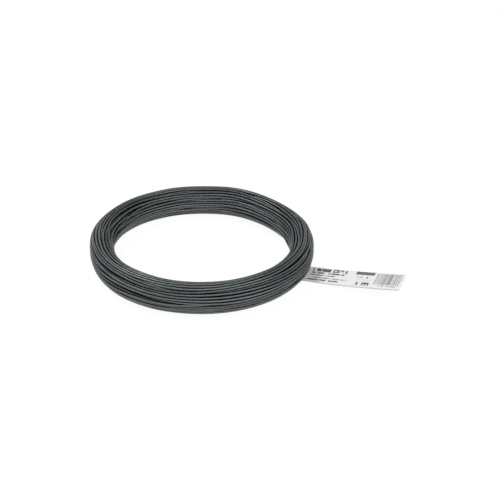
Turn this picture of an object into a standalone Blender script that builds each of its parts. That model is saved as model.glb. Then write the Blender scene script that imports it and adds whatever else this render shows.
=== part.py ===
"""Coil of annealed binding wire, lying flat, with the paper flag label that sticks out from under it.

Metres, +Z up. The Z axis is the coil's own axis, and the origin is the middle of the ring, so the
surface that the coil lies on is half the bundle's height below the origin.
"""

import math

import bmesh
import bpy
import numpy as np

# Coil
WIRE_DIAMETER = 0.0018
COIL_OUTER_DIAMETER = 0.2000
BUNDLE_WIDTH = 0.0214
BUNDLE_HEIGHT = 0.0281
TURN_SPACING = 1.03  # distance between neighbouring outer turns, in wire diameters
CREST_FLAT = 0.00072  # width of the facet that stands for the top of each round wire
GROOVE_DEPTH = 0.00063  # depth of the groove between two neighbouring turns
COIL_FACETS = 44

# Label: a strip folded double, its inner end under the wires and its free end curling up
LABEL_WIDTH = 0.0254
LABEL_LENGTH = 0.0898
LABEL_THICKNESS = 0.0003
LABEL_CLEARANCE = 0.0003  # gap to the wires above its inner end
LABEL_HEADING = -20.6  # degrees from +X, the way that its free end points
LABEL_SIDE_OFFSET = 0.0110  # its centre line passes the coil's axis this far to the left
LABEL_RISE_INNER = 5.2  # slope at the inner end, in degrees
LABEL_RISE_FREE = 9.6  # slope at the free end, in degrees
LABEL_TWIST = 2.9  # roll of the free end, in degrees
LABEL_STEPS = 24

# Worked out from the sizes above
WIRE_RADIUS = WIRE_DIAMETER / 2
BUNDLE_RADIUS = (COIL_OUTER_DIAMETER - BUNDLE_WIDTH) / 2  # coil's axis to the middle of the bundle
HALF_WIDTH = BUNDLE_WIDTH / 2
HALF_HEIGHT = BUNDLE_HEIGHT / 2
FLOOR = -HALF_HEIGHT


def clear_scene():
    for thing in list(bpy.data.objects):
        bpy.data.objects.remove(thing)


def plain_material(name, colour, roughness, metallic):
    material = bpy.data.materials.new(name)
    material.use_nodes = True
    shader = material.node_tree.nodes["Principled BSDF"]
    shader.inputs["Base Color"].default_value = (*colour, 1)
    shader.inputs["Roughness"].default_value = roughness
    shader.inputs["Metallic"].default_value = metallic
    return material


def add_object(name, work_mesh, material):
    mesh = bpy.data.meshes.new(name)
    work_mesh.to_mesh(mesh)
    work_mesh.free()
    mesh.materials.append(material)
    thing = bpy.data.objects.new(name, mesh)
    bpy.context.scene.collection.objects.link(thing)
    return thing


def outer_turns():
    """The outer turns' centres in the bundle's section, evenly spaced round an ellipse from its
    lowest point, each with the ellipse's outward direction there. Their number is even, so that
    one turn lies exactly at the bottom and one at the top.
    """
    across = HALF_WIDTH - WIRE_RADIUS
    up = HALF_HEIGHT - WIRE_RADIUS
    angle = np.linspace(0, 2 * math.pi, 3601)
    path = np.stack([across * np.sin(angle), -up * np.cos(angle)], axis=1)
    travelled = np.concatenate([[0], np.cumsum(np.linalg.norm(np.diff(path, axis=0), axis=1))])
    pitch = WIRE_DIAMETER * TURN_SPACING
    count = 2 * round(travelled[-1] / pitch / 2)
    # Whole steps are the turns, and the half steps between them are the grooves.
    angle_at = np.interp(np.arange(2 * count) * travelled[-1] / (2 * count), travelled, angle)
    centre = np.stack([across * np.sin(angle_at), -up * np.cos(angle_at)], axis=1)
    outward = np.stack([up * np.sin(angle_at), -across * np.cos(angle_at)], axis=1)
    outward /= np.linalg.norm(outward, axis=1, keepdims=True)
    return centre, outward


def bundle_section():
    """The bundle's outline as (distance from the coil's axis, height): a flat crest on each outer
    turn, and the bottom of the groove after it.
    """
    centre, outward = outer_turns()
    points = []
    for step in range(0, len(centre), 2):
        along = np.array([-outward[step][1], outward[step][0]])
        crest = centre[step] + outward[step] * WIRE_RADIUS
        groove = centre[step + 1] + outward[step + 1] * (WIRE_RADIUS - GROOVE_DEPTH)
        points += [crest - along * CREST_FLAT / 2, crest + along * CREST_FLAT / 2, groove]
    return [(BUNDLE_RADIUS + x, z) for x, z in points]


def make_wire_coil(material):
    """The whole winding as one body, turned about the coil's axis, with its turns on its faces."""
    work = bmesh.new()
    section = [work.verts.new((x, 0, z)) for x, z in bundle_section()]
    for start, end in zip(section, section[1:] + section[:1]):
        work.edges.new((start, end))
    bmesh.ops.spin(
        work,
        geom=work.verts[:] + work.edges[:],
        axis=(0, 0, 1),
        cent=(0, 0, 0),
        steps=COIL_FACETS,
        angle=2 * math.pi,
        use_merge=True,
    )
    bmesh.ops.recalc_face_normals(work, faces=work.faces[:])
    coil = add_object("wire_coil", work, material)
    coil.data.shade_smooth()
    coil.data.set_sharp_from_angle(angle=math.radians(30))
    return coil


def label_start():
    """Distance of the label's inner end from the coil's axis: as far in as the rounded underside
    of the bundle leaves room for the label and its clearance.
    """
    room = LABEL_THICKNESS + LABEL_CLEARANCE
    return BUNDLE_RADIUS + HALF_WIDTH * math.sqrt(1 - (1 - room / HALF_HEIGHT) ** 2)


def make_label(material):
    """A grid laid out flat, bent up along its length and given the label's thickness."""
    work = bmesh.new()
    bmesh.ops.create_grid(work, x_segments=LABEL_STEPS, y_segments=1, size=0.5)
    heading = math.radians(LABEL_HEADING)
    forward = np.array([math.cos(heading), math.sin(heading), 0])
    left = np.array([-math.sin(heading), math.cos(heading), 0])
    start = forward * label_start() + left * LABEL_SIDE_OFFSET
    for vertex in work.verts:
        share = vertex.co.x + 0.5
        run = share * LABEL_LENGTH
        slope = math.radians(LABEL_RISE_INNER + (LABEL_RISE_FREE - LABEL_RISE_INNER) * share / 2)
        roll = math.radians(LABEL_TWIST * share)
        side = vertex.co.y * LABEL_WIDTH
        place = start + forward * run * math.cos(slope) + left * side * math.cos(roll)
        height = FLOOR + run * math.sin(slope) + side * math.sin(roll)
        vertex.co = (place[0], place[1], height)
    label = add_object("label", work, material)
    solidify = label.modifiers.new("thickness", "SOLIDIFY")
    solidify.thickness = LABEL_THICKNESS
    solidify.offset = 1
    return label


def main():
    clear_scene()
    make_wire_coil(plain_material("annealed_wire", (0.075, 0.080, 0.082), 0.5, 0.6))
    make_label(plain_material("label_paper", (0.83, 0.83, 0.84), 0.6, 0.0))


main()
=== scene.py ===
"""A coil of dark annealed binding wire lying flat, with a paper flag label sticking out from under it."""

import math

import bmesh
import bpy
import numpy as np
from mathutils import Matrix, Vector


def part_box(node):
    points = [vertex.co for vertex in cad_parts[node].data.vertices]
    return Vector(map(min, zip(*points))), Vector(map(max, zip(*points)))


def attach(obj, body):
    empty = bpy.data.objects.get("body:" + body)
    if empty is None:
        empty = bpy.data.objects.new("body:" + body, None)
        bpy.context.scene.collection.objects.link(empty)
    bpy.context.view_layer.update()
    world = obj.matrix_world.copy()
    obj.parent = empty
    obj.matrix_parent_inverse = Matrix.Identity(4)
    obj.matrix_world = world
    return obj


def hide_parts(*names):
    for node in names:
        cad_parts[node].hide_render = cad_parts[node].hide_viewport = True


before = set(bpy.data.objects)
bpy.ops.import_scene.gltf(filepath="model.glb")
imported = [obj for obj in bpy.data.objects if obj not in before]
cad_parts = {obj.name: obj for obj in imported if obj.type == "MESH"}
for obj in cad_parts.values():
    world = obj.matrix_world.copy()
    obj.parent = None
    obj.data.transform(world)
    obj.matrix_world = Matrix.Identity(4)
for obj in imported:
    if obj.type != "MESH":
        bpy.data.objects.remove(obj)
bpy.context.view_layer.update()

coil_low, coil_high = (Vector(corner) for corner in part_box("wire_coil"))
floor_height = coil_low.z

# The picture
# The camera stands in front and looks down on the coil from about thirty degrees. It is turned a little
# about its own axis, so that the ring's long way lies level in the picture.
CAMERA_AIM = Vector((0.0428, 0.0175, floor_height))
CAMERA_DISTANCE = 0.9836
CAMERA_ELEVATION = math.radians(29.46)
CAMERA_ROLL = math.radians(1.15)
LENS_MM = 77.6
SENSOR_MM = 36

camera_data = bpy.data.cameras.new("camera")
camera_data.lens = LENS_MM
camera_data.sensor_width = SENSOR_MM
camera_data.clip_start = 0.01
camera = bpy.data.objects.new("camera", camera_data)
bpy.context.scene.collection.objects.link(camera)
backwards = Vector((0, -math.cos(CAMERA_ELEVATION), math.sin(CAMERA_ELEVATION)))
camera.matrix_world = (
    Matrix.Translation(CAMERA_AIM + backwards * CAMERA_DISTANCE)
    @ backwards.to_track_quat("Z", "Y").to_matrix().to_4x4()
    @ Matrix.Rotation(CAMERA_ROLL, 4, "Z")
)
bpy.context.scene.camera = camera
bpy.context.scene.view_settings.view_transform = "Standard"


# The stage
# A white sheet that lies on the floor and stands up on all sides. It is plain white to the camera and keeps
# a faint shadow. The studio light is soft: a broad lamp high on the left, a little behind the coil, one
# high on the right, before it, and a weaker one in front.
FLOOR_SIDE = 8.0
WALL_HEIGHT = 2.0
FLOOR_DROP = 0.0002
FLOOR_COLOUR = (0.86, 0.86, 0.86, 1)
SHADOW_SHARE = 0.12  # how much of the lit floor, shadow and all, shows to the camera
FLOOR_WHITE = 1.06  # how bright the rest of it shines


def start_material(name):
    """A node material with only its output, and two functions that add nodes to it and link them."""
    material = bpy.data.materials.new(name)
    material.use_nodes = True
    tree = material.node_tree
    tree.nodes.clear()
    output = tree.nodes.new("ShaderNodeOutputMaterial")

    def node(kind, inputs=None, **settings):
        made = tree.nodes.new("ShaderNode" + kind)
        for setting, value in settings.items():
            setattr(made, setting, value)
        for socket, value in (inputs or {}).items():
            if isinstance(value, bpy.types.NodeSocket):
                tree.links.new(value, made.inputs[socket])
            else:
                made.inputs[socket].default_value = value
        return made

    def finish_surface(shader):
        tree.links.new(shader.outputs[0], output.inputs["Surface"])
        return material

    return node, finish_surface


def math_node(operation, *values):
    """The result of a sum, product or comparison, in the material that is being made."""
    return node("Math", dict(enumerate(values)), operation=operation).outputs[0]


node, finish_surface = start_material("stage_white")
rays = node("LightPath").outputs
seen = math_node("MAXIMUM", rays["Is Camera Ray"], rays["Is Glossy Ray"])
seen = math_node("MAXIMUM", seen, rays["Is Transmission Ray"])
share = math_node("MULTIPLY", seen, 1 - SHADOW_SHARE)
lit = node("BsdfDiffuse", {"Color": FLOOR_COLOUR})
plain = node("Emission", {"Color": (1, 1, 1, 1), "Strength": FLOOR_WHITE})
stage_white = finish_surface(node("MixShader", {"Fac": share, 1: lit.outputs[0], 2: plain.outputs[0]}))

work = bmesh.new()
bmesh.ops.create_grid(
    work,
    x_segments=1,
    y_segments=1,
    size=FLOOR_SIDE / 2,
    matrix=Matrix.Translation((0, 0, floor_height - FLOOR_DROP)),
)
walls_up = bmesh.ops.extrude_edge_only(work, edges=[edge for edge in work.edges if edge.is_boundary])
bmesh.ops.translate(
    work,
    verts=[made for made in walls_up["geom"] if isinstance(made, bmesh.types.BMVert)],
    vec=(0, 0, WALL_HEIGHT),
)
bmesh.ops.recalc_face_normals(work, faces=work.faces)
floor_mesh = bpy.data.meshes.new("stage_floor")
work.to_mesh(floor_mesh)
work.free()
floor_mesh.materials.append(stage_white)
stage_floor = bpy.data.objects.new("stage_floor", floor_mesh)
bpy.context.scene.collection.objects.link(stage_floor)

ROOM_LIGHT = 0.25
room = bpy.data.worlds.new("studio")
bpy.context.scene.world = room
room.use_nodes = True
background = room.node_tree.nodes["Background"]
background.inputs["Color"].default_value = (1, 1, 1, 1)
background.inputs["Strength"].default_value = ROOM_LIGHT


def add_lamp(name, place, watts, side):
    """A square lamp that faces the coil."""
    lamp = bpy.data.lights.new(name, "AREA")
    lamp.energy = watts
    lamp.size = side
    holder = bpy.data.objects.new(name, lamp)
    facing = Vector(place).to_track_quat("Z", "Y").to_matrix().to_4x4()
    holder.matrix_world = Matrix.Translation(place) @ facing
    bpy.context.scene.collection.objects.link(holder)


add_lamp("lamp_front", (0.0, -1.4, 1.0), 6.3, 0.8)
add_lamp("lamp_left", (-0.8, 0.4, 1.5), 14.6, 0.7)
add_lamp("lamp_right", (1.0, -0.7, 1.3), 10.8, 0.7)


# The wire
# One length of annealed steel wire, about fifty metres of it, wound into a ring and taken off its former,
# so that its turns lie loosely bunched: they drift, cross and leave gaps. Both ends are tucked inside.
MM = 0.001
WIRE = 1.8  # millimetres, as are the other lengths of the layout
TURNS = 89
STATIONS = 120  # points in each turn
BUNDLE_WIDTH = 21.4
WIRE_FACES = 8  # round the wire

bundle_height = (coil_high.z - coil_low.z) / MM
ring_radius = (coil_high.y - coil_low.y) / 2 / MM - BUNDLE_WIDTH / 2
station_azimuth = np.arange(STATIONS) * 2 * math.pi / STATIONS

# How far the bundle stands outwards, and how much it widens to each side, every fifteen degrees from +X.
LEAN = (-0.4, 0.1, -0.7, -1.1, 0.0, 0.7, -0.7, -0.6, -0.3, 0.4, 0.4, 0.4,
        -0.3, -0.8, -0.1, 0.2, 0.0, 0.1, -0.2, -0.2, -0.3, -0.1, 0.1, 0.1)
WIDENING = (0.1, 1.1, 1.6, 1.6, 1.6, 1.6, 0.8, 1.1, 0.7, 0.5, 0.6, 0.9,
            0.4, 0.3, 0.8, 1.6, 1.6, 0.9, 0.3, 0.7, 0.9, 0.6, 0.4, 0.1)


def all_round(knots):
    """A smooth closed curve through values at even azimuths, read at every station."""
    waves = np.fft.rfft(knots)
    waves[-1] /= 2
    padded = np.zeros(STATIONS // 2 + 1, complex)
    padded[: len(waves)] = waves
    return np.fft.irfft(padded, STATIONS) * STATIONS / len(knots)


lean = all_round(LEAN)
reach_across = (BUNDLE_WIDTH - WIRE) / 2 + all_round(WIDENING)
reach_up = (bundle_height - WIRE) / 2

# The deep gaps that open between two turns: azimuth and place round the section where each one starts and
# ends, in degrees, and how far it keeps the wires away. Places run from the outside, at 0, over the top.
GAPS = (
    (166, 72, 192, 70, 1.1),
    (157, 126, 180, 137, 0.9),
    (168, 101, 196, 87, 0.9),
    (196, 87, 225, 84, 0.5),
    (183, 124, 204, 118, 1.0),
    (204, 118, 224, 109, 0.6),
    (187, 34, 219, 42, 0.6),
    (219, 42, 240, 54, 0.3),
    (198, 48, 225, 58, 0.45),
    (204, 5, 225, -9, 0.8),
    (219, 7, 262, -5, 0.45),
    (264, -10, 296, -8, 0.35),
    (262, -37, 290, -27, 0.5),
    (290, -33, 303, -25, 0.7),
    (303, -25, 322, -10, 0.8),
    (272, 51, 300, 41, 0.25),
    (258, 62, 276, 67, 0.2),
    (317, 58, 337, 65, 1.1),
    (333, 105, 353, 113, 1.0),
    (328, -10, 345, 7, 0.6),
    (300, 21, 322, 8, 0.3),
    (345, 66, 372, 58, 0.8),
    (352, 88, 380, 84, 0.8),
    (42, 199, 70, 197, 0.7),
    (16, 174, 42, 199, 0.8),
    (28, 75, 42, 91, 0.5),
    (135, 124, 168, 119, 0.8),
    (104, 163, 153, 137, 0.8),
    (124, 84, 144, 84, 0.3),
    (200, -30, 235, -34, 0.6),
    (226, -20, 262, -24, 0.6),
    (232, -44, 276, -46, 0.7),
    (282, -46, 318, -40, 0.6),
    (318, 30, 345, 38, 0.5),
)
GAP_TOP = 0.5  # how far below the bundle's surface a gap's slit begins, and ends
GAP_BOTTOM = 4.7
GAP_OVERRUN = 0.12  # the share of its length by which a gap runs on past each end
GAP_RAMP = 0.2  # the share of its length in which it opens to its full width, and closes again

# Narrower gaps lie all over the bundle, at random: how many, how long, how far they drift, and how wide
SMALL_GAPS = 80
SMALL_GAP_SEED = 6
SMALL_GAP_LENGTHS = (18, 45)
SMALL_GAP_DRIFTS = (-8, 8)
SMALL_GAP_ROOMS = (0.05, 0.35)


def small_gaps():
    """The narrower gaps, in the same form as the deep ones."""
    random = np.random.default_rng(SMALL_GAP_SEED)
    azimuths, places = random.uniform(0, 360, (2, SMALL_GAPS))
    lengths = random.uniform(*SMALL_GAP_LENGTHS, SMALL_GAPS)
    drifts = random.uniform(*SMALL_GAP_DRIFTS, SMALL_GAPS)
    rooms = random.uniform(*SMALL_GAP_ROOMS, SMALL_GAPS)
    return tuple(zip(azimuths, places, azimuths + lengths, places + drifts, rooms))


def gaps_by_station():
    """For each gap, the stations where it is open, and there its slit's top, its slit and how wide it is."""
    rows = []
    for azimuth_a, place_a, azimuth_b, place_b, room in GAPS + small_gaps():
        # Azimuths are counted from a quarter turn before the gap's start.
        past_start = (np.degrees(station_azimuth) - azimuth_a + 90) % 360 - 90
        along = past_start / (azimuth_b - azimuth_a)
        place = np.radians(place_a + (place_b - place_a) * np.clip(along, 0, 1))
        from_end = np.minimum(along + GAP_OVERRUN, 1 + GAP_OVERRUN - along)
        opening = np.clip(from_end / GAP_RAMP, 0, 1)
        outward = np.stack([np.cos(place) * reach_up, np.sin(place) * reach_across], axis=1)
        outward /= np.linalg.norm(outward, axis=1, keepdims=True)
        surface = np.stack(
            [(reach_across + WIRE / 2) * np.cos(place), (reach_up + WIRE / 2) * np.sin(place)], axis=1
        )
        is_open = (along > -GAP_OVERRUN) & (along < 1 + GAP_OVERRUN)
        top = (surface - outward * GAP_TOP)[is_open, None]
        slit = (outward * (GAP_TOP - GAP_BOTTOM))[is_open, None]
        rows.append((is_open, top, slit, (WIRE / 2 + room * opening)[is_open, None]))
    return rows


# The places of the turns as they were wound, up one column and down the next, from the inside outwards
ROW_PITCH = 2.5
COLUMN_PITCH = ROW_PITCH * math.sqrt(3) / 2


def wound_places():
    """Where each turn was first laid in the bundle's section, as (across, up)."""
    half_width = (BUNDLE_WIDTH - WIRE) / 2
    columns = int(2 * half_width / COLUMN_PITCH) + 1
    places = []
    for column in range(columns):
        across = (column - (columns - 1) / 2) * COLUMN_PITCH
        half = reach_up * math.sqrt(max(0, 1 - (across / half_width) ** 2))
        count = max(1, int(2 * half / ROW_PITCH) + 1)
        heights = (np.arange(count) - (count - 1) / 2) * ROW_PITCH
        places += [(across, height) for height in (heights if column % 2 else -heights)]
    return np.array(places)


BELL_TAIL = 3  # spreads to each side


def bell(spread):
    """The weights of a bell curve, which add up to one."""
    tail = round(BELL_TAIL * spread)
    weights = np.exp(-0.5 * (np.arange(-tail, tail + 1) / spread) ** 2)
    return weights / weights.sum()


def smoothed(values, weights):
    """Values along the wire, each averaged with its neighbours."""
    edge = len(weights) // 2
    padded = np.concatenate([np.repeat(values[:1], edge, 0), values, np.repeat(values[-1:], edge, 0)])
    return sum(weight * padded[step : step + len(values)] for step, weight in enumerate(weights))


# How loosely the turns lie: how far they wander, in millimetres, and over how many stations
WANDERING = ((2.2, 34), (1.0, 11))
WANDER_SEED = 11
WANDER_TAIL = 4  # spreads to each side
TUCKED = 50  # stations in which each end comes out of the middle of the bundle
UNEVENNESS = 0.03  # the share of the bundle's reach by which a turn may lie deeper than the next
UNEVEN_SWING = 0.6  # how strongly that depth changes along the wire
UNEVEN_SPREAD = 20

# How the turns push each other apart, round by round, until they lie side by side
SETTLING_ROUNDS = 200
GROWING_SHARE = 0.8  # of the rounds, in which the wires grow from nothing to their full thickness
FREE_SPACING = 2.5  # wires nearer than this drift apart
DRIFT = 0.35  # how strongly they do, against 1 for wires that touch
OUTWARD_DRIFT = 0.004  # of the bundle's reach, each round
CORE = 0.3  # the share of that reach within which the outward drift fades
OUTER_LAYER = 0.85  # the share of the bundle's reach beyond which the turns also spread out evenly
OUTER_SPACING = 2.9
CONTACT = 1.03 * WIRE  # wires nearer than this push each other apart
GAP_PUSH = 0.6  # the share of a gap's missing room that is made good, each round
STIFFNESS = 0.5  # how far each point moves to the average of its neighbours, each round
BEND_SPREAD = 2  # stations that share a bend
PUSH_SPREAD = 3  # stations that share a push
PUSH_GAIN = 1.5
LAST_ROUNDS = 20  # in which a part of each push stays where it acts
UNSHARED = 0.3  # that part
FAR = 1e3  # stands for a turn's distance from itself
TINY = 1e-6  # keeps a distance from being nought
EVENING_SPREAD = 1  # takes out the sharp bends where two turns have changed places

# Single turns that stand off the bundle: azimuth, place, how far, and over how many degrees
LOOSE_TURNS = ((12, 194, 1.4, 6),)


def wander(random, count, spread):
    """Smooth random values along the wire, about one in size."""
    tail = WANDER_TAIL * spread
    weights = np.exp(-0.5 * (np.arange(-tail, tail + 1) / spread) ** 2)
    weights /= math.sqrt((weights**2).sum())
    return np.convolve(random.normal(size=count + len(weights) - 1), weights, mode="valid")


def lay_turns():
    """The middle of the wire in the bundle's section at every station, as (across, up)."""
    random = np.random.default_rng(WANDER_SEED)
    total = TURNS * STATIONS
    places = wound_places()
    along = np.linspace(0, len(places) - 1, total)
    route = np.stack([np.interp(along, np.arange(len(places)), places[:, axis]) for axis in (0, 1)], axis=1)
    for amount, spread in WANDERING:
        route += amount * np.stack([wander(random, total, spread) for _ in range(2)], axis=1)
    lead = np.clip(np.arange(total) / TUCKED, 0, 1)
    lead = lead * lead * (3 - 2 * lead)
    lead = (lead * lead[::-1])[:, None]
    route *= lead
    limit = 1 - UNEVENNESS * np.clip(0.5 + UNEVEN_SWING * wander(random, total, UNEVEN_SPREAD), 0, 1)

    def reach(route):
        """How far out each point lies, as a share of the bundle's half width or height."""
        return np.hypot(route[:, 0] / np.tile(reach_across, TURNS), route[:, 1] / reach_up)

    gaps = gaps_by_station()
    itself = np.arange(TURNS)
    bend_weights, push_weights = bell(BEND_SPREAD), bell(PUSH_SPREAD)
    for settling_round in range(SETTLING_ROUNDS):
        grown = min(1, (settling_round + 1) / (GROWING_SHARE * SETTLING_ROUNDS))
        route += STIFFNESS * (smoothed(route, bend_weights) - route)
        turns = route.reshape(TURNS, STATIONS, 2).transpose(1, 0, 2)
        apart = turns[:, :, None, :] - turns[:, None, :, :]
        distance = np.sqrt((apart**2).sum(axis=3)) + TINY
        distance[:, itself, itself] = FAR
        outer = np.clip((reach(route) - OUTER_LAYER) / (1 - OUTER_LAYER), 0, 1).reshape(TURNS, STATIONS).T
        spacing = FREE_SPACING + (OUTER_SPACING - FREE_SPACING) * outer[:, :, None] * outer[:, None, :]
        push = np.maximum(0, CONTACT * grown - distance) + DRIFT * np.maximum(0, spacing * grown - distance)
        from_turns = (apart * (0.5 * push / distance)[..., None]).sum(axis=2)
        from_gaps = np.zeros_like(from_turns)
        for is_open, top, slit, room in gaps:
            beside = turns[is_open] - top
            down = (beside * slit).sum(axis=2) / (slit**2).sum(axis=2)
            away = beside - np.clip(down, 0, 1)[..., None] * slit
            distance = np.sqrt((away**2).sum(axis=2)) + TINY
            missing = np.maximum(0, room * grown - distance)
            from_gaps[is_open] += GAP_PUSH * away * (missing / distance)[..., None]
        from_turns = from_turns.transpose(1, 0, 2).reshape(total, 2)
        from_gaps = from_gaps.transpose(1, 0, 2).reshape(total, 2)
        if settling_round < SETTLING_ROUNDS - LAST_ROUNDS:
            route = route + PUSH_GAIN * smoothed(from_turns + from_gaps, push_weights)
            route = route * (1 + OUTWARD_DRIFT * lead / np.maximum(reach(route), CORE)[:, None])
        else:
            shared = PUSH_GAIN * smoothed((1 - UNSHARED) * from_turns + from_gaps, push_weights)
            route = route + UNSHARED * from_turns + shared
        route = route / np.maximum(1, reach(route) / limit)[:, None]
    route = smoothed(route, bell(EVENING_SPREAD))

    for azimuth_at, place_at, how_far, spread in LOOSE_TURNS:
        station = round(azimuth_at / 360 * STATIONS)
        outward = np.array((math.cos(math.radians(place_at)), math.sin(math.radians(place_at))))
        loosest = (route.reshape(TURNS, STATIONS, 2)[:, station] @ outward).argmax()
        degrees_off = (np.arange(total) - loosest * STATIONS - station) * 360 / STATIONS
        route += how_far * np.exp(-0.5 * (degrees_off / spread) ** 2)[:, None] * outward
    route[:, 0] += np.tile(lean, TURNS)
    return route


# A turn that stands out too far is held at the sides of the square that the coil fits in.
route = lay_turns()
azimuth = np.tile(station_azimuth, TURNS)
side_on = np.maximum(abs(np.cos(azimuth)), abs(np.sin(azimuth)))
radius = np.minimum(ring_radius + route[:, 0], (ring_radius + (BUNDLE_WIDTH - WIRE) / 2) / side_on)
points = np.stack([radius * np.cos(azimuth), radius * np.sin(azimuth), route[:, 1]], axis=1) * MM

guide = bpy.data.curves.new("wire_guide", "CURVE")
guide.dimensions = "3D"
guide.bevel_depth = WIRE / 2 * MM
guide.bevel_resolution = WIRE_FACES // 2 - 2
guide.use_fill_caps = True
spline = guide.splines.new("POLY")
spline.points.add(len(points) - 1)
spline.points.foreach_set("co", np.column_stack([points, np.ones(len(points))]).ravel())
spline.use_smooth = True
guide_holder = bpy.data.objects.new("wire_guide", guide)
bpy.context.scene.collection.objects.link(guide_holder)
depsgraph = bpy.context.evaluated_depsgraph_get()
wire_mesh = bpy.data.meshes.new_from_object(guide_holder.evaluated_get(depsgraph))
wire_mesh.name = "binding_wire"
bpy.data.objects.remove(guide_holder)

# Each point's place on the wire: round it, as a cosine and a sine, and along it, in metres. The mesh holds
# the two end caps first, the last one before the first, and then the rings in order.
metres = np.concatenate([[0], np.cumsum(np.linalg.norm(np.diff(points, axis=0), axis=1))])
turned = np.arange(WIRE_FACES) * 2 * math.pi / WIRE_FACES
ring = np.column_stack([np.cos(turned), np.sin(turned), np.zeros(WIRE_FACES)])
place = ring[None, :, :] + metres[:, None, None] * np.array((0, 0, 1))
place = np.concatenate([place[-1:], place[:1], place]).reshape(-1, 3)
wire_place = wire_mesh.attributes.new("wire_place", "FLOAT_VECTOR", "POINT")
wire_place.data.foreach_set("vector", place.ravel())

# The end caps have corners of their own, which are joined to those of the rings.
CAP_SEAM = 1e-7
work = bmesh.new()
work.from_mesh(wire_mesh)
bmesh.ops.remove_doubles(work, verts=work.verts, dist=CAP_SEAM)
work.to_mesh(wire_mesh)
work.free()
binding_wire = bpy.data.objects.new("binding_wire", wire_mesh)
bpy.context.scene.collection.objects.link(binding_wire)

# The wire's colour: the oxide skin, with darker and lighter lengths from the furnace, fine scale, fine lines
# from the drawing die, and streaks where the turns have rubbed against each other, darkened to a painted
# shade in the crevices between turns
OXIDE_DARK = (0.035, 0.042, 0.043, 1)
OXIDE_LIGHT = (0.216, 0.238, 0.243, 1)
RUBBED = (0.35, 0.37, 0.375, 1)
RUBBED_SHARE = 0.35
# The near black of the painted shade that the crevices between turns are given
PAINTED_SHADE = (0.001, 0.004, 0.005, 1)
CREVICE = 2.4 * MM  # the wire is painted darker, as painted shade, where another turn is nearer than this

node, finish_surface = start_material("annealed_oxide")
on_wire = node("Attribute", attribute_name="wire_place")


def wire_noise(round_scale, along_scale, detail, roughness=0.5):
    """Noise that follows the wire, with its own scale round it and along it."""
    scaled = node(
        "Mapping",
        {"Vector": on_wire.outputs["Vector"], "Scale": (round_scale, round_scale, along_scale)},
    )
    return node(
        "TexNoise",
        {"Vector": scaled.outputs[0], "Scale": 1.0, "Detail": detail, "Roughness": roughness},
    ).outputs["Fac"]


def ranged(value, low, high, to_low=0.0, to_high=1.0):
    """A value between low and high, brought to a range of its own."""
    return node(
        "MapRange",
        {"Value": value, "From Min": low, "From Max": high, "To Min": to_low, "To Max": to_high},
    ).outputs[0]


lengths = ranged(wire_noise(0.0, 4.0, 2), 0.36, 0.64)
mottling = ranged(wire_noise(0.5, 22.0, 4, 0.6), 0.3, 0.7)
lines = ranged(wire_noise(2.6, 7.0, 4, 0.6), 0.32, 0.68)
scale = ranged(wire_noise(0.9, 190.0, 4, 0.65), 0.34, 0.66)
rubbing = ranged(wire_noise(1.6, 14.0, 3), 0.6, 0.7)
tone = 0.0
for pattern, amount in ((lengths, 0.4), (mottling, 0.15), (lines, 0.2), (scale, 0.25)):
    tone = math_node("MULTIPLY_ADD", pattern, amount, tone)
rubbed = math_node("MULTIPLY", rubbing, RUBBED_SHARE)
# Painted shade: the colour is mixed towards near black where ambient occlusion finds other turns near.
openness = node("AmbientOcclusion", {"Distance": CREVICE}, samples=16).outputs["AO"]
unshaded = ranged(openness, 0.3, 0.95)


def mixed(share, colour_a, colour_b):
    """Two colours mixed, all of the second one where the share is 1."""
    return node("Mix", {"Factor": share, "A": colour_a, "B": colour_b}, data_type="RGBA").outputs["Result"]


# The oxide's colour with rubbed streaks on it, and painted shade in the crevices
skin_and_shade = mixed(unshaded, PAINTED_SHADE, mixed(rubbed, mixed(tone, OXIDE_DARK, OXIDE_LIGHT), RUBBED))
sheen = ranged(scale, 0, 1, 0.3, 0.52)
relief = node("Bump", {"Height": scale, "Strength": 0.35, "Distance": 0.0001})
relief = node("Bump", {"Height": lines, "Strength": 0.3, "Distance": 0.0002, "Normal": relief.outputs[0]})
steel = node(
    "BsdfPrincipled",
    {
        "Base Color": skin_and_shade,
        "Metallic": 0.7,
        "Roughness": sheen,
        "Normal": relief.outputs[0],
    },
)
wire_mesh.materials.clear()
wire_mesh.materials.append(finish_surface(steel))

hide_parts("wire_coil")
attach(binding_wire, "root")


# The label
# A strip of coated paper folded double, its halves stuck back to back a little askew. The fold lies under
# the wires, and the free end curls up. It is printed in grey on its upper side, and its lower half is
# painted a darker grey as painted shade.
LABEL_WIDTH = 25.4
LABEL_LENGTH = 89.7
LABEL_SIDE_OFFSET = 11.0
LABEL_HEADING = math.radians(-20.6)
LABEL_START = 92.45  # from the coil's axis
RISE_INNER = 5.2  # degrees
RISE_FREE = 9.6
TWIST = 2.9
PAPER = 0.12
PLY_HEIGHTS = (0.07, 0.22)  # the middle of the lower and of the upper half, above the strip's underside
ASKEW = 1.3  # how far the lower half stands out past the near edge, from a third of the length on
ASKEW_FROM = 0.35
LOWER_SHORTER = 0.5
LABEL_STEPS = 60
LABEL_ROWS = 6

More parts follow.
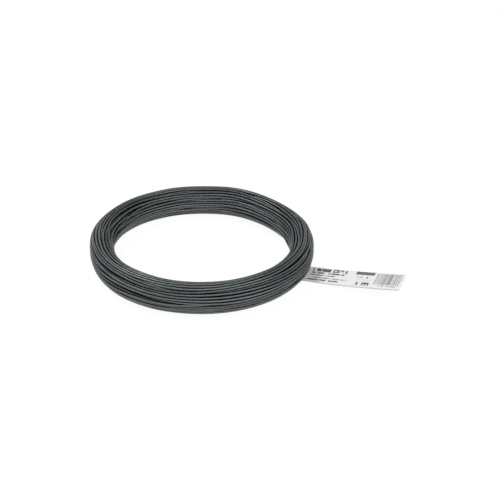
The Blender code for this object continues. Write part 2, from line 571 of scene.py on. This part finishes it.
forward = np.array([math.cos(LABEL_HEADING), math.sin(LABEL_HEADING)])
left = np.array([-forward[1], forward[0]])
work = bmesh.new()
on_label = work.verts.layers.float_vector.new("label_place")
bmesh.ops.create_grid(work, x_segments=LABEL_STEPS, y_segments=LABEL_ROWS, size=1)
for vertex in work.verts:
    upper = vertex.co.x > TINY
    share = abs(vertex.co.x)
    side = vertex.co.y * LABEL_WIDTH / 2
    run = share * (LABEL_LENGTH if upper else LABEL_LENGTH - LOWER_SHORTER)
    vertex[on_label] = (run if upper else -run, side + LABEL_WIDTH / 2, 0)
    ply = sum(PLY_HEIGHTS) / 2 if share < TINY else PLY_HEIGHTS[upper]
    if not upper:
        side -= ASKEW * min(1, share / ASKEW_FROM)
    slope = math.radians(RISE_INNER + (RISE_FREE - RISE_INNER) * share / 2)
    roll = math.radians(TWIST * share)
    flat = forward * (LABEL_START + run * math.cos(slope))
    flat = flat + left * (LABEL_SIDE_OFFSET + side * math.cos(roll))
    height = run * math.sin(slope) + side * math.sin(roll) + ply
    vertex.co = (flat[0] * MM, flat[1] * MM, floor_height + height * MM)
label_mesh = bpy.data.meshes.new("flag_label")
work.to_mesh(label_mesh)
work.free()
flag_label = bpy.data.objects.new("flag_label", label_mesh)
bpy.context.scene.collection.objects.link(flag_label)
paper_thickness = flag_label.modifiers.new("paper_thickness", "SOLIDIFY")
paper_thickness.thickness = PAPER * MM
paper_thickness.offset = 0

PAPER_WHITE = (0.9, 0.9, 0.91, 1)
PAPER_DULL = (0.85, 0.85, 0.86, 1)
# The lower half's colour: a darker grey, painted as shade where it shows under the upper half
PAPER_SHADED = (0.62, 0.62, 0.63, 1)
INK = (0.03, 0.03, 0.035, 1)

node, finish_surface = start_material("label_paper")
on_paper = node("Attribute", attribute_name="label_place").outputs["Vector"]
across_paper = node("SeparateXYZ", {"Vector": on_paper})
paper_x = across_paper.outputs["X"]
paper_y = across_paper.outputs["Y"]


def inside(left_end, right_end, bottom, top):
    """1 inside a rectangle of the label, in millimetres from the fold and from the near edge."""
    middle_x, half_x = (left_end + right_end) / 2, (right_end - left_end) / 2
    middle_y, half_y = (bottom + top) / 2, (top - bottom) / 2
    across = math_node("COMPARE", paper_x, middle_x, half_x)
    up = math_node("COMPARE", paper_y, middle_y, half_y)
    return math_node("MULTIPLY", across, up)


def chance(cell_width, cell_height, seed):
    """A random number for each cell of the paper."""
    column = math_node("FLOOR", math_node("DIVIDE", paper_x, cell_width))
    row = math_node("FLOOR", math_node("DIVIDE", paper_y, cell_height))
    cell = node("CombineXYZ", {"X": column, "Y": row, "Z": float(seed)})
    return node("TexWhiteNoise", {"Vector": cell.outputs[0]}, noise_dimensions="3D").outputs["Value"]


ONE_ROW = 60.0  # a cell height that is more than the label's width
NO_GAPS = 90.0  # a gap width that is more than any print's length
BLANK_SHARE = 0.16


def marks(area, cell_width, cell_height, inked_share, gap_width, seed):
    """An area filled with small random cells of ink, with blank gaps across it as between words."""
    inked = math_node("LESS_THAN", chance(cell_width, cell_height, seed), inked_share)
    word = math_node("GREATER_THAN", chance(gap_width, ONE_ROW, seed + 0.5), BLANK_SHARE)
    return math_node("MULTIPLY", inside(*area), math_node("MULTIPLY", inked, word))


# Stripes at an even pitch, each of its own width
STRIPE_PITCH = 1.12
STRIPE_SEED = 22
stripe_phase = math_node("FRACT", math_node("DIVIDE", paper_x, STRIPE_PITCH))
stripe_share = ranged(chance(STRIPE_PITCH, ONE_ROW, STRIPE_SEED), 0, 1, 0.2, 0.75)
stripes = math_node("LESS_THAN", stripe_phase, stripe_share)

# Each print, and how dark its ink is: a heading, four rows under it, a block with rows and a bold mark under
# it, stripes, and a row under them. An area is given by its left and right end, its bottom and its top.
prints = (
    (marks((6.6, 37.6, 18.8, 24.2), 1.3, 1.7, 0.84, 1.9, 3), 0.97),
    (marks((6.6, 36.4, 15.2, 17.5), 0.8, 1.1, 0.93, 1.2, 5), 0.97),
    (marks((6.4, 28.6, 11.5, 13.3), 0.8, 0.8, 0.9, 1.1, 7), 0.92),
    (marks((6.0, 41.5, 7.4, 8.9), 0.7, 0.65, 0.85, 1.0, 9), 0.85),
    (marks((6.0, 33.4, 3.2, 5.3), 0.8, 0.95, 0.93, 1.2, 11), 0.97),
    (inside(45.7, 62.3, 19.8, 24.9), 0.92),
    (marks((47.5, 53.5, 14.9, 16.5), 0.7, 0.8, 0.75, 1.1, 13), 0.6),
    (marks((55.0, 61.0, 14.2, 17.3), 1.1, 1.0, 0.9, 1.7, 15), 0.9),
    (marks((49.0, 60.0, 10.8, 11.7), 0.6, 0.9, 0.6, 1.0, 17), 0.5),
    (inside(49.6, 51.2, 2.5, 7.6), 0.95),
    (marks((53.2, 61.0, 2.5, 7.6), 1.3, 2.55, 0.85, NO_GAPS, 19), 0.95),
    (math_node("MULTIPLY", inside(64.8, 87.0, 6.0, 23.8), stripes), 0.9),
    (marks((68.5, 86.0, 3.2, 4.7), 0.8, 0.75, 0.7, 1.1, 23), 0.6),
)
ink = 0.0
for printed_area, darkness in prints:
    ink = math_node("MAXIMUM", math_node("MULTIPLY", printed_area, darkness), ink)
speckle = node("TexNoise", {"Vector": on_paper, "Scale": 1.5, "Detail": 4.0}).outputs["Fac"]
ink = math_node("MULTIPLY", ink, ranged(speckle, 0.25, 0.6, 0.8, 1.0))
shade = ranged(node("TexNoise", {"Vector": on_paper, "Scale": 0.12, "Detail": 2.0}).outputs["Fac"], 0.3, 0.7)
# Painted shade: the lower half of the strip is given the darker grey.
behind = math_node("LESS_THAN", paper_x, 0.0)
blank = mixed(behind, mixed(shade, PAPER_DULL, PAPER_WHITE), PAPER_SHADED)
fibres = node("Bump", {"Height": speckle, "Strength": 0.1, "Distance": 0.0001})
gloss = ranged(speckle, 0.3, 0.7, 0.5, 0.6)
paper = node(
    "BsdfPrincipled",
    {"Base Color": mixed(ink, blank, INK), "Roughness": gloss, "Normal": fibres.outputs[0]},
)
label_mesh.materials.append(finish_surface(paper))

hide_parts("label")
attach(flag_label, "root")
